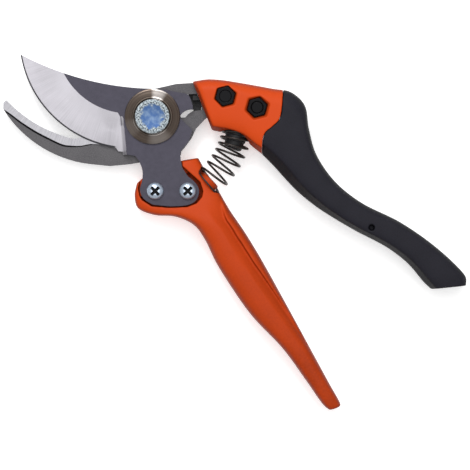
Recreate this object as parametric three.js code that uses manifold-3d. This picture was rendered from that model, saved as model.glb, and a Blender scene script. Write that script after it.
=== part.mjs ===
// Bypass pruner lying open on its back, in millimetres.
// The pivot axis is Z and X points from the blades to the handles.
// Heights are counted from the blade's rear face; the finished group hangs from the pivot head's face.
import * as THREE from "three";
import { ParametricGeometry } from "three/addons/geometries/ParametricGeometry.js";
import { mergeVertices } from "three/addons/utils/BufferGeometryUtils.js";
import Module from "manifold-3d";

const wasm = await Module();
wasm.setup();

// Fits between pieces.
const runningGap = 0.3;
const seatGap = 0.1;
const faceGap = 0.3;

// Plates: the cutting blade is in front of the hook.
const bladeThickness = 3.2;
const hookThickness = 4;
const hookRelief = 0.8;
const hookFront = -faceGap;
const hookBack = hookFront - hookThickness;

// Pivot bolt, its collar in front and its washer and nut behind.
const pivotRadius = 4.9;
const pivotHeadRadius = 7.2;
const pivotHeadHeight = 2.4;
const collarRadius = 11.6;
const collarHeight = 2.9;
const collarFloor = 0.8;
const collarBand = 0.7;
const collarShoulder = 1.5;
const collarLip = 0.6;
const washerRadius = 9;
const washerThickness = 1;
const pivotNutRadius = 7.4;
const pivotNutHeight = 3.6;
const pivotBoltStandout = 0.8;
const pivotChamfer = 0.6;
const pivotHeadChamfer = 0.4;

// Bolts that clamp the hook's tang in the upper handle: the nuts show in hexagonal pockets in front.
const clampBolts = [[30.6, 8.4], [43.9, 3.7]];
const clampShankRadius = 2.4;
const clampHeadRadius = 4.2;
const clampHeadHeight = 3;
const clampNutRadius = 4.3;
const clampNutHeight = 2.4;
const hexPocketRadius = 4.7;
const hexPocketFloor = 5.4;
const hexTurn = 15;
const counterboreFloor = -6.4;
const clampSocketRadius = 2.3;
const clampSocketDepth = 1.2;
const clampShankSides = 28;

// Screws that hold the blade's lobe in the lower handle.
const bladeScrews = [[1.2, -31.2], [14.9, -31.2]];
const screwShankRadius = 1.95;
const screwHeadRadius = 3.6;
const screwHeadHeight = 2.2;
const screwEnd = -6.4;
const crossLength = 4;
const crossWidth = 1;
const crossDepth = 1.1;
const insertRadius = 3.8;
const insertHeight = 2.2;
const insertCeiling = -4.5;

// Return spring: a coil bent round the pivot, between a boss on each handle.
const springArcRadius = 36;
const springCoilRadius = 5.9;
const springWireRadius = 0.6;
const springTurns = 8;
const springStart = -49.2;
const springEnd = -5.2;
const springMiddle = -27;
const wireSides = 6;
const stepsPerTurn = 14;
const springSocketRadius = 7;
const lowerSeatFloor = -50.2;
const upperSeatFloor = -4;
const lowerBossTop = -46.6;
const upperBossTop = -22;
const bossRadius = 4.4;

// Safety catch: a slider behind the hook whose nose stops the blade's pin in the hook's window.
const catchWidth = 5;
const catchMiddle = 6.8;
const catchFront = 16.9;
const catchEnd = 25.2;
const catchThickness = 2.6;
const catchNoseWidth = 2;
const catchNoseMiddle = 8;
const catchNoseEnd = 20;
const catchTravel = 6.2;
const thumbPadHeight = 2.4;
const thumbPadInset = 0.4;
const thumbGrooves = 4;
const thumbGrooveWidth = 0.8;
const thumbGrooveDepth = 0.6;
const stopPinRadius = 1;
const stopPinArc = 13;
const stopPinAngle = 24;
const closingAngle = 22;
const stopPinDepth = 1.5;
const stopPinSides = 20;

// Rubber grip round the upper handle's core.
const gripWall = 4;
const gripHoleAt = [91.7, -46.5];
const gripHoleRadius = 1.3;
const gripHoleFloor = 6;

const roundSides = 32;
const sectionSides = 24;
const handleRows = 32;
const coreRows = 14;
const squareness = 4;
const beyond = 30;

const finishes = {
  groundSteel: { color: "#b9b9c2", roughness: 0.3, metalness: 1 },
  forgedSteel: { color: "#57575f", roughness: 0.5, metalness: 1 },
  bronze: { color: "#7d6757", roughness: 0.35, metalness: 1 },
  zinc: { color: "#a9bccf", roughness: 0.3, metalness: 1 },
  darkSteel: { color: "#26262b", roughness: 0.45, metalness: 1 },
  orange: { color: "#e9501c", roughness: 0.45, metalness: 0 },
  rubber: { color: "#3a3940", roughness: 0.75, metalness: 0 },
  blackPlastic: { color: "#1b1b1e", roughness: 0.5, metalness: 0 },
};

const radians = THREE.MathUtils.degToRad;

function polar(radius, degrees) {
  return [radius * Math.cos(radians(degrees)), radius * Math.sin(radians(degrees))];
}

// Points of an arc round a centre, both ends included.
function arc([x, y], radius, from, to, steps) {
  return Array.from({ length: steps + 1 }, (_, i) => {
    const [dx, dy] = polar(radius, from + ((to - from) * i) / steps);
    return [x + dx, y + dy];
  });
}

// An arc from start to end, both included; a positive radius puts its centre on the left of the way.
function bow(start, end, radius, steps) {
  const chord = [end[0] - start[0], end[1] - start[1]];
  const length = Math.hypot(...chord);
  const rise = (Math.sign(radius) * Math.sqrt(radius ** 2 - (length / 2) ** 2)) / length;
  const centre = [
    (start[0] + end[0]) / 2 - chord[1] * rise,
    (start[1] + end[1]) / 2 + chord[0] * rise,
  ];
  const angleTo = ([x, y]) => THREE.MathUtils.radToDeg(Math.atan2(y - centre[1], x - centre[0]));
  const from = angleTo(start);
  const sweep = THREE.MathUtils.euclideanModulo(angleTo(end) - from + 180, 360) - 180;
  return arc(centre, Math.abs(radius), from, from + sweep, steps);
}

// A smooth line through the points given.
function smooth(points, steps) {
  const line = new THREE.SplineCurve(points.map(([x, y]) => new THREE.Vector2(x, y)));
  return line.getPoints(steps).map(({ x, y }) => [x, y]);
}

// A geometry as a solid, welded and without the empty triangles at its closed ends.
function solid(geometry) {
  geometry.deleteAttribute("normal");
  geometry.deleteAttribute("uv");
  const welded = mergeVertices(geometry, 1e-4);
  const corners = welded.index.array;
  const triVerts = [];
  for (let i = 0; i < corners.length; i += 3) {
    const triangle = corners.slice(i, i + 3);
    if (new Set(triangle).size === 3) triVerts.push(...triangle);
  }
  return new wasm.Manifold(
    new wasm.Mesh({
      numProp: 3,
      vertProperties: welded.attributes.position.array,
      triVerts: new Uint32Array(triVerts),
    }),
  );
}

// A flat plate with the outline given, from one height to another.
function plate(outline, low, high) {
  const shape = new THREE.Shape(outline.map(([x, y]) => new THREE.Vector2(x, y)));
  const geometry = new THREE.ExtrudeGeometry(shape, { depth: high - low, bevelEnabled: false });
  return solid(geometry.translate(0, 0, low));
}

// A rod or prism along Z, or a cone where its top radius differs.
function rod([x, y], radius, low, high, sides = roundSides, topRadius = radius, turn = 0) {
  const geometry = new THREE.CylinderGeometry(topRadius, radius, high - low, sides);
  geometry.rotateX(Math.PI / 2).rotateZ(radians(turn)).translate(x, y, (low + high) / 2);
  return solid(geometry);
}

function hexagon(at, radius, low, high, turn = 0) {
  return rod(at, radius, low, high, 6, radius, turn + 30);
}

// A block turned round Z about its own middle.
function block([x, y], length, width, low, high, turn = 0) {
  const geometry = new THREE.BoxGeometry(length, width, high - low);
  return solid(geometry.rotateZ(radians(turn)).translate(x, y, (low + high) / 2));
}

// A turned piece on the pivot axis; its profile lists radius and height from the top round to the bottom.
function turned([x, y], profile, sides = roundSides) {
  const geometry = new THREE.LatheGeometry(profile.map(([r, z]) => new THREE.Vector2(r, z)), sides);
  return solid(geometry.rotateX(Math.PI / 2).translate(x, y, 0));
}

// The spring's line round the pivot, or a coil wound on it.
class BentLine extends THREE.Curve {
  constructor(from, to, coilRadius, turns) {
    super();
    Object.assign(this, { from, to, coilRadius, turns });
  }

  getPoint(t, target = new THREE.Vector3()) {
    const turn = 2 * Math.PI * this.turns * t;
    const reach = springArcRadius + this.coilRadius * Math.cos(turn);
    const [x, y] = polar(reach, THREE.MathUtils.lerp(this.from, this.to, t));
    return target.set(x, y, this.coilRadius * Math.sin(turn));
  }
}

// A round rod bent along the spring's line, or coiled on it.
function bentRod(radius, from, to, sides, steps, coilRadius = 0, turns = 0) {
  const ring = arc([0, 0], radius, 0, 360, sides).slice(1);
  const section = new THREE.Shape(ring.map(([x, y]) => new THREE.Vector2(x, y)));
  const extrudePath = new BentLine(from, to, coilRadius, turns);
  return solid(new THREE.ExtrudeGeometry(section, { steps, extrudePath, bevelEnabled: false }));
}

// A handle skinned over stations: one edge point, the opposite edge point, half thickness, mid height.
function skinned(stations, rows, inset = 0) {
  const edge = stations.map(([x, y, , , half]) => new THREE.Vector3(x, y, half));
  const opposite = stations.map(([, , x, y, , middle]) => new THREE.Vector3(x, y, middle));
  const edgeLine = new THREE.CatmullRomCurve3(edge);
  const oppositeLine = new THREE.CatmullRomCurve3(opposite);
  const power = 2 / squareness;
  const blunt = (value) => Math.sign(value) * Math.abs(value) ** power;
  const surface = (u, v, target) => {
    const row = Math.round(v * rows);
    const along = THREE.MathUtils.clamp((row - 1) / (rows - 2), 0, 1);
    const open = row === 0 || row === rows ? 0 : 1;
    const a = edgeLine.getPoint(along);
    const b = oppositeLine.getPoint(along);
    const width = Math.hypot(a.x - b.x, a.y - b.y) / 2;
    const reach = (open * (width - inset)) / width;
    const across = blunt(Math.cos(2 * Math.PI * u)) * reach;
    const height = blunt(Math.sin(2 * Math.PI * u)) * (a.z - inset) * open;
    target.set(
      (a.x + b.x) / 2 + ((a.x - b.x) / 2) * across,
      (a.y + b.y) / 2 + ((a.y - b.y) / 2) * across,
      b.z + height,
    );
  };
  return solid(new ParametricGeometry(surface, sectionSides, rows));
}

// ---- Cutting blade ----
const bladeTip = [-55.4, 26.2];
const edgeHeel = [-15.3, -13];
const spineEnd = [-0.7, 11.7];
const bladeOutline = [
  ...bow(bladeTip, edgeHeel, 47.1, 22),
  [-13.7, -15.5], [-12.6, -16.1], [-10.2, -15.9], [-7.1, -16.5],
  ...smooth([[-5.7, -18.3], [-4.2, -22.2], [-4.2, -26.5], [-5.2, -30.7], [-3.6, -34.4], [0.3, -36.9]], 14),
  ...smooth([[7.1, -37.6], [14.1, -37.2], [18.2, -35.2], [19.6, -31.3], [18.3, -28], [14.9, -25]], 14),
  ...smooth([[12.6, -21.5], [11.8, -17.3], [11.9, -14.6], [13.4, -12.6], [15.4, -10], [16.8, -5.6]], 12),
  [11.4, -0.4],
  ...smooth([[11.7, 0.5], [12.6, 1.6], [13.9, 2.5], [15.5, 3], [17, 3.2]], 8),
  [16.9, 4.6], [16.2, 7.1], [15.2, 9.1], [13.3, 9.8], [9.7, 10.4], [5.3, 11.3],
  ...bow(spineEnd, bladeTip, -122.5, 14).slice(0, -1),
];
const grindCentre = [-9.6, 32.2];
const grindEdgeRadius = 46.9;
const grindTopRadius = 30.9;
const grindMargin = 1;
const grindSlope = (grindTopRadius - grindEdgeRadius) / bladeThickness;
const grindArea = [
  [-70, -30], [-12.3, -30], [-12.3, -16], [-13.4, -0.1], [-14.4, 1.6], [-14.4, 40], [-70, 40],
];
const grindCone = rod(
  grindCentre,
  grindEdgeRadius - grindSlope * grindMargin,
  -grindMargin,
  bladeThickness + grindMargin,
  120,
  grindTopRadius + grindSlope * grindMargin,
);
const grindWaste = plate(grindArea, -grindMargin / 2, bladeThickness + grindMargin / 2).subtract(grindCone);
const stopPinAt = polar(stopPinArc, stopPinAngle);
let cuttingBlade = plate(bladeOutline, 0, bladeThickness)
  .subtract(grindWaste)
  .subtract(rod([0, 0], pivotRadius + runningGap, -beyond, beyond))
  .subtract(rod(stopPinAt, stopPinRadius + seatGap, -beyond, stopPinDepth + seatGap));
for (const at of bladeScrews) {
  cuttingBlade = cuttingBlade.subtract(rod(at, screwShankRadius + runningGap, -beyond, beyond));
}
const stopPin = rod(stopPinAt, stopPinRadius, hookBack + faceGap, stopPinDepth, stopPinSides);

// ---- Hook and its frame ----
const hookTip = [-62.7, 3.2];
const hookBelly = [-23.9, -20];
const hookThroat = [-33.1, -9.2];
const hookNose = [-61.5, 7.1];
const hookOutline = [
  ...bow(hookTip, hookBelly, 49.8, 16),
  [-17.9, -20.6], [-9.5, -19.8],
  ...arc([0, 0], 19.9, -106, -53.5, 8),
  [12.1, -14.4], [13.4, -12.9], [16.3, -9], [18.3, -4.8], [21.8, -1.1], [25, 1.5],
  [28, 2.2], [28, 11.6], [25, 12.4], [17.4, 14.3], [10.1, 13.9], [5.3, 12.8],
  ...arc([0, 0], 11.6, 90, 180, 8),
  [-15, -3], [-23, -6.6], [-30.2, -8.7],
  ...bow(hookThroat, hookNose, -56.6, 14),
  [-62.7, 6],
];
const landBorder = [
  [-66, 5.2], [-62.7, 3.3], [-59.6, 1.3], [-55.2, -2], [-49.3, -5.8], [-43.4, -8.9], [-38.1, -11.4],
  [-34.6, -12], [-30.2, -12.1], [-25.2, -11.3], [-18, -12.5], [-9, -17.2],
];
const reliefOutline = [...smooth(landBorder, 26), [-6, -26], [-66, -26]];
// The stop pin runs along the window's curved arm, and the catch's nose comes in at its square end.
const pinRoom = stopPinRadius + runningGap;
const pinLastAngle = stopPinAngle + closingAngle;
const hookWindow = [
  [12, -0.3], [13.8, -0.2], [14.9, 1.1], [16.7, 2.4], [20.6, 2.9], [20.6, 9.6], [10.7, 9.6],
  ...arc(polar(stopPinArc, pinLastAngle), pinRoom, pinLastAngle, pinLastAngle + 180, 10),
  ...arc([0, 0], stopPinArc - pinRoom, pinLastAngle - 1, 2, 10),
];
const tangTurn = THREE.MathUtils.radToDeg(
  Math.atan2(clampBolts[1][1] - clampBolts[0][1], clampBolts[1][0] - clampBolts[0][0]),
);
const tangMiddle = [37, 6.2];
const tangLength = 25;
const tangWidth = 9;
let counterBlade = plate(hookOutline, hookBack, hookFront)
  .add(block(tangMiddle, tangLength, tangWidth, hookBack, hookFront, tangTurn))
  .subtract(plate(reliefOutline, hookFront - hookRelief, beyond))
  .subtract(plate(hookWindow, -beyond, beyond))
  .subtract(rod([0, 0], pivotRadius + seatGap, -beyond, beyond));
for (const at of clampBolts) {
  counterBlade = counterBlade.subtract(rod(at, clampShankRadius + seatGap, -beyond, beyond));
}

// ---- Pivot ----
const collarBottom = bladeThickness + seatGap;
const collarTop = collarBottom + collarHeight;
const headBottom = collarBottom + collarFloor + seatGap;
const headTop = headBottom + pivotHeadHeight;
const washerTop = hookBack - seatGap;
const washerBottom = washerTop - washerThickness;
const nutTop = washerBottom - seatGap;
const nutBottom = nutTop - pivotNutHeight;
const boltEnd = nutBottom - pivotBoltStandout;
const collarBore = pivotHeadRadius + runningGap;
const shankBore = pivotRadius + seatGap;
const pivotCollar = turned([0, 0], [
  [shankBore, collarBottom], [collarRadius, collarBottom], [collarRadius, collarBottom + collarBand],
  [collarRadius - collarLip, collarBottom + collarShoulder], [collarBore + collarLip, collarTop],
  [collarBore, collarTop - collarLip / 2],
  [collarBore, collarBottom + collarFloor], [shankBore, collarBottom + collarFloor],
  [shankBore, collarBottom],
]);
const pivotBolt = turned([0, 0], [
  [0, boltEnd], [pivotRadius - pivotChamfer, boltEnd], [pivotRadius, boltEnd + pivotChamfer],
  [pivotRadius, headBottom], [pivotHeadRadius, headBottom], [pivotHeadRadius, headTop - pivotHeadChamfer],
  [pivotHeadRadius - pivotHeadChamfer, headTop], [0, headTop],
]);
const pivotWasher = rod([0, 0], washerRadius, washerBottom, washerTop)
  .subtract(rod([0, 0], shankBore, -beyond, beyond));
const pivotNut = hexagon([0, 0], pivotNutRadius, nutBottom, nutTop)
  .subtract(rod([0, 0], shankBore, -beyond, beyond));

// ---- Upper handle ----
const upperStations = [
  [16.8, 14.8, 25, -5.6, 8, 0],
  [23.4, 15.7, 28, -6.2, 8.8, 0],
  [29.7, 15.3, 32.5, -7, 9.2, 0],
  [36.7, 14.2, 38.1, -9.2, 9.4, 0],
  [43.6, 13, 42.6, -13, 9.5, 0],
  [50.6, 11.7, 46, -15.7, 9.7, 0],
  [58.1, 10.3, 51, -20.7, 10, 0],
  [64, 4.6, 56.4, -26.7, 10, 0],
  [65.6, -5, 62, -32.3, 10, 0],
  [68.8, -16, 69.5, -38.2, 9.8, 0],
  [76.6, -27.2, 77.5, -43.3, 9.4, 0],
  [87.9, -36.2, 86, -48.2, 9, 0],
  [103.7, -44.1, 98, -54.5, 8.8, 0],
  [118.3, -54.2, 107, -61.3, 8.6, 0],
  [130.4, -65.6, 113.8, -69.2, 8.2, 0],
  [131.6, -70.8, 117.1, -72.3, 7.6, 0],
];
const gripBorder = smooth([
  [54.8, 13], [54.4, 5.7], [53.3, -0.9], [50.4, -4.1], [47, -7.2], [46, -11.7], [45.9, -17.5],
], 18);
const gripArea = (shift) => plate(
  [...gripBorder.map(([x, y]) => [x + shift, y]), [46, -90], [150, -90], [150, 25], [55 + shift, 25]],
  -beyond,
  beyond,
);
const upperBody = skinned(upperStations, handleRows);
const coreStations = upperStations.slice(4, 14);
const gripCore = skinned(coreStations, coreRows, gripWall);
const gripCavity = skinned(coreStations, coreRows, gripWall - seatGap);
const tangRoom = plate(
  [[14, 18], [17.6, 15], [25.4, 13], [28.4, 12.2], [28.4, 1.8], [25.4, 0.6], [20, -4], [12, -12]],
  hookBack - faceGap,
  0,
).add(block(
  tangMiddle,
  tangLength + 2 * runningGap,
  tangWidth + 2 * runningGap,
  hookBack - faceGap,
  0,
  tangTurn,
));
const catchRear = hookBack - faceGap;
const catchRoomLength = catchEnd - catchFront + catchTravel + 2 * runningGap;
const catchRoom = block(
  [catchEnd + runningGap - catchRoomLength / 2, catchMiddle],
  catchRoomLength,
  catchWidth + 2 * runningGap,
  -beyond,
  catchRear + seatGap,
);
const upperSpringRoom = bentRod(springSocketRadius, springMiddle, upperSeatFloor, roundSides, 12);
let upperCasing = upperBody.subtract(gripArea(0))
  .add(gripCore.intersect(gripArea(-gripWall)))
  .subtract(tangRoom)
  .subtract(catchRoom)
  .subtract(upperSpringRoom);
for (const at of clampBolts) {
  upperCasing = upperCasing
    .subtract(hexagon(at, hexPocketRadius, hexPocketFloor, beyond, hexTurn))
    .subtract(rod(at, clampHeadRadius + runningGap, -beyond, counterboreFloor))
    .subtract(rod(at, clampShankRadius + seatGap, -beyond, beyond));
}
const upperGrip = upperBody.intersect(gripArea(faceGap))
  .subtract(gripCavity)
  .subtract(upperSpringRoom)
  .subtract(rod(gripHoleAt, gripHoleRadius, gripHoleFloor, beyond, roundSides / 2));

function clampBolt(at) {
  const headFace = counterboreFloor - seatGap;
  const headBack = headFace - clampHeadHeight;
  return rod(at, clampHeadRadius, headBack, headFace)
    .add(rod(at, clampShankRadius, headFace - seatGap, hexPocketFloor + clampNutHeight, clampShankSides))
    .subtract(hexagon(at, clampSocketRadius, -beyond, headBack + clampSocketDepth));
}

function clampNut(at) {
  const bottom = hexPocketFloor + seatGap;
  return hexagon(at, clampNutRadius, bottom, bottom + clampNutHeight, hexTurn)
    .subtract(rod(at, clampShankRadius + seatGap, -beyond, beyond, clampShankSides));
}

// ---- Safety catch ----
const catchBack = catchRear - catchThickness;
const catchLength = catchEnd - catchFront;
const catchCentre = [(catchFront + catchEnd) / 2, catchMiddle];
const noseLength = catchNoseEnd - catchFront;
let safetyCatch = block(catchCentre, catchLength, catchWidth, catchBack, catchRear)
  .add(block(
    [catchFront + noseLength / 2, catchNoseMiddle],
    noseLength,
    catchNoseWidth,
    catchBack,
    hookFront - faceGap,
  ))
  .add(block(
    catchCentre,
    catchLength - 2 * thumbPadInset,
    catchWidth - 2 * thumbPadInset,
    catchBack - thumbPadHeight,
    catchRear,
  ));
for (let i = 0; i < thumbGrooves; i += 1) {
  const x = catchFront + (catchLength * (i + 0.5)) / thumbGrooves;
  const grooveFloor = catchBack - thumbPadHeight + thumbGrooveDepth;
  safetyCatch = safetyCatch.subtract(block([x, catchMiddle], thumbGrooveWidth, beyond, -beyond, grooveFloor));
}

// ---- Lower handle ----
const lowerStations = [
  [12.4, -18.3, -4.3, -25.7, 6, -1.2],
  [19.2, -17.2, -6.6, -28, 6, -1.2],
  [22.5, -23, -7.5, -33, 6.2, -1.1],
  [26.5, -28.6, -6, -38.4, 6.6, -0.9],
  [29.3, -33.8, 0.8, -41.2, 7.2, -0.6],
  [32.6, -39.4, 9.5, -41.9, 7.8, -0.3],
  [36, -44.3, 17.2, -45.3, 8.4, 0],
  [39.8, -50, 22, -51.5, 8.6, 0],
  [46.5, -61.2, 28, -63.4, 8.6, 0],
  [57, -80.2, 40.9, -82.5, 8.4, 0],
  [67, -98.6, 54.4, -96.9, 8, 0],
  [74, -111.5, 64, -110, 7.4, 0],
  [78.8, -120.2, 71, -120, 6.4, 0],
  [78, -121.8, 74.2, -123, 5.6, 0],
];
const lobePocket = [
  [-5.2, -14], [-5.2, -26], [-6, -30], [-5.4, -33.2], [-4.3, -35], [-0.2, -37.6], [7.1, -38.2],
  [14.6, -37.9], [18.5, -36.4], [20.8, -33.8], [21.3, -31.2], [20.1, -27.4], [15.3, -23.1],
  [12.6, -20.7], [12.3, -14],
];
let lowerHandle = skinned(lowerStations, handleRows)
  .subtract(plate(lobePocket, -faceGap, beyond))
  .subtract(bentRod(springSocketRadius, lowerSeatFloor, springMiddle, roundSides, 12));
for (const at of bladeScrews) {
  lowerHandle = lowerHandle
    .subtract(rod(at, screwShankRadius + seatGap, -beyond, beyond))
    .subtract(hexagon(at, insertRadius + seatGap, -beyond, insertCeiling));
}

function bladeScrew(at) {
  const bottom = bladeThickness + seatGap;
  const top = bottom + screwHeadHeight;
  const screw = turned(at, [
    [0, screwEnd], [screwShankRadius, screwEnd], [screwShankRadius, bottom], [screwHeadRadius, bottom],
    [screwHeadRadius, bottom + 0.6], [screwHeadRadius - 0.3, bottom + 1.3],
    [screwHeadRadius - 1.1, top - 0.2], [screwHeadRadius - 2, top], [0, top],
  ], 32);
  return screw
    .subtract(block(at, crossLength, crossWidth, top - crossDepth, beyond, 45))
    .subtract(block(at, crossLength, crossWidth, top - crossDepth, beyond, -45));
}

function bladeInsert(at) {
  const top = insertCeiling - seatGap;
  return hexagon(at, insertRadius, top - insertHeight, top)
    .subtract(rod(at, screwShankRadius + seatGap, -beyond, beyond, 28));
}

// ---- Return spring ----
const returnSpring = bentRod(
  springWireRadius, springStart, springEnd, wireSides, springTurns * stepsPerTurn, springCoilRadius, springTurns,
);
const seatAngle = THREE.MathUtils.radToDeg(seatGap / springArcRadius);
const lowerBoss = bentRod(bossRadius, lowerSeatFloor + seatAngle, lowerBossTop, roundSides, 2);
const upperBoss = bentRod(bossRadius, upperBossTop, upperSeatFloor - seatAngle, roundSides, 8);

// ---- The pruner ----
const group = new THREE.Group();
group.name = "bypass_pruner";
group.position.z = -headTop;

function place(name, body, finish) {
  const { vertProperties, triVerts } = body.getMesh();
  const geometry = new THREE.BufferGeometry();
  geometry.setAttribute("position", new THREE.BufferAttribute(vertProperties, 3));
  geometry.setIndex(new THREE.BufferAttribute(triVerts, 1));
  const mesh = new THREE.Mesh(geometry, new THREE.MeshStandardMaterial(finish));
  mesh.name = name;
  group.add(mesh);
}

place("counter_blade", counterBlade, finishes.forgedSteel);
place("pivot_bolt", pivotBolt, finishes.zinc);
place("pivot_collar", pivotCollar, finishes.bronze);
place("pivot_washer", pivotWasher, finishes.darkSteel);
place("pivot_nut", pivotNut, finishes.zinc);
place("upper_casing", upperCasing, finishes.orange);
place("upper_grip", upperGrip, finishes.rubber);
["inner", "outer"].forEach((side, i) => {
  place(`clamp_bolt_${side}`, clampBolt(clampBolts[i]), finishes.darkSteel);
  place(`clamp_nut_${side}`, clampNut(clampBolts[i]), finishes.darkSteel);
});
place("spring_boss_upper", upperBoss, finishes.blackPlastic);
place("return_spring", returnSpring, finishes.darkSteel);
place("safety_catch", safetyCatch, finishes.blackPlastic);
place("cutting_blade", cuttingBlade, finishes.groundSteel);
place("stop_pin", stopPin, finishes.darkSteel);
place("lower_handle", lowerHandle, finishes.orange);
["left", "right"].forEach((side, i) => {
  place(`blade_screw_${side}`, bladeScrew(bladeScrews[i]), finishes.zinc);
  place(`blade_insert_${side}`, bladeInsert(bladeScrews[i]), finishes.zinc);
});
place("spring_boss_lower", lowerBoss, finishes.orange);

export default group;
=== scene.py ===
"""Bypass pruner, dressed over its CAD model: every piece is built in millimetres and set in the frame in metres."""

import math

import bmesh
import bpy
import numpy as np
from bpy.props import FloatProperty, FloatVectorProperty, IntProperty, PointerProperty
from mathutils import Matrix, Vector


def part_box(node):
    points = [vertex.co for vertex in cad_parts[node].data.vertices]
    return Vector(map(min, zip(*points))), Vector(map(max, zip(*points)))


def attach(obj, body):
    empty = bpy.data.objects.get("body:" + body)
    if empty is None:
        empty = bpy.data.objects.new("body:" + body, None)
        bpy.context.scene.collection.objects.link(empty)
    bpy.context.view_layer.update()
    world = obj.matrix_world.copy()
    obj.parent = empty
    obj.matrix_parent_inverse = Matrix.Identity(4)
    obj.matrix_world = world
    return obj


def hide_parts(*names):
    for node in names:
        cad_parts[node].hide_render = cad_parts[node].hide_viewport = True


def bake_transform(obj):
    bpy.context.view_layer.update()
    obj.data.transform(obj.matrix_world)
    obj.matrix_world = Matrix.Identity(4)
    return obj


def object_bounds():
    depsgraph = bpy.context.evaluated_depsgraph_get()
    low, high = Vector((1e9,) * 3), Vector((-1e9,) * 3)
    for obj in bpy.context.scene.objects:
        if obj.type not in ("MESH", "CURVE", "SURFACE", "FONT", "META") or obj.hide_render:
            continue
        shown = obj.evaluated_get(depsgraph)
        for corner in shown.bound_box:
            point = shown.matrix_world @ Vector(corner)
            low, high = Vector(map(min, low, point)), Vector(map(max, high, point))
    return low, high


bl_info = {
    "name": "Bypass Pruner",
    "version": (1, 0, 0),
    "blender": (4, 5, 0),
    "location": "3D View > Sidebar > Pruner",
    "description": "Builds the blades, handles, fasteners, spring and catch of a bypass pruner",
    "category": "Object",
}

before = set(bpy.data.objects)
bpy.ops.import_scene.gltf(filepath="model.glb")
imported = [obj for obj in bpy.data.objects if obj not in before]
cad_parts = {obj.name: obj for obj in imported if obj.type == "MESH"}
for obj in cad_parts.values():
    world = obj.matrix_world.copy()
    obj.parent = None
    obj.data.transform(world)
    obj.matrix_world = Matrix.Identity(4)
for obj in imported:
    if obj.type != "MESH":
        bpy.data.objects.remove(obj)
cad_box = [list(corner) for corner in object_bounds()]

MM = 0.001
HOOK, BLADE, CATCH = "hook_side", "blade_side", "catch"
BLADE_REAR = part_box("cutting_blade")[0][2] / MM
# Beyond the object, up or down: where a cut that goes right through ends.
FAR = 40.0


# ---- Sizes and colours ----


def length(name, text, millimetres):
    """A size that the panel shows in the scene's own length unit."""
    return FloatProperty(name=name, description=text, default=millimetres * MM, unit="LENGTH", precision=5)


def paint(name, text, colour):
    return FloatVectorProperty(name=name, description=text, default=colour, size=3, subtype="COLOR", min=0, max=1)


class PrunerSizes(bpy.types.PropertyGroup):
    edge_round: length("Edge rounding", "Rounding on the edges of the steel plates", 0.27)
    moulded_round: length("Moulding grid", "Grid that the moulded handles are rounded on", 0.38)
    collar_radius: length("Collar radius", "Outer radius of the turned collar", 11.6)
    head_radius: length("Pivot head radius", "Radius of the pivot bolt's head", 7.2)
    screw_radius: length("Screw head radius", "Radius of the blade screws' heads", 3.6)
    coil_radius: length("Coil radius", "Middle radius of the spring's turns", 6.15)
    wire_radius: length("Wire radius", "Radius of the spring's wire", 0.48)
    coil_turns: IntProperty(name="Coil turns", description="Turns of the return spring", default=8, min=3, max=20)
    hex_radius: length("Hexagon pocket radius", "Corner radius of the hexagonal pockets", 4.7)


class PrunerColours(bpy.types.PropertyGroup):
    orange: paint("Orange", "Moulded casing and lower handle", (0.54, 0.055, 0.0065))
    rubber: paint("Rubber", "Grip of the upper handle", (0.0135, 0.0130, 0.0185))
    ground: paint("Ground steel", "Ground face of the cutting blade", (0.66, 0.64, 0.69))
    blasted: paint("Blasted steel", "Flat faces of both blades", (0.039, 0.0365, 0.0495))
    bronze: paint("Collar", "Turned collar round the pivot", (0.25, 0.195, 0.160))
    zinc: paint("Zinc", "Pivot head, nuts and screws", (0.20, 0.25, 0.32))
    black: paint("Black", "Spring, clamp nuts and catch", (0.003, 0.003, 0.0035))


def sizes():
    return bpy.context.scene.pruner_sizes


def colours():
    return bpy.context.scene.pruner_colours


# ---- Shader building ----


def spaced(values):
    """Values by socket name, from keywords that have underscores for spaces."""
    return {key.replace("_", " "): value for key, value in values.items()}


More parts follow.
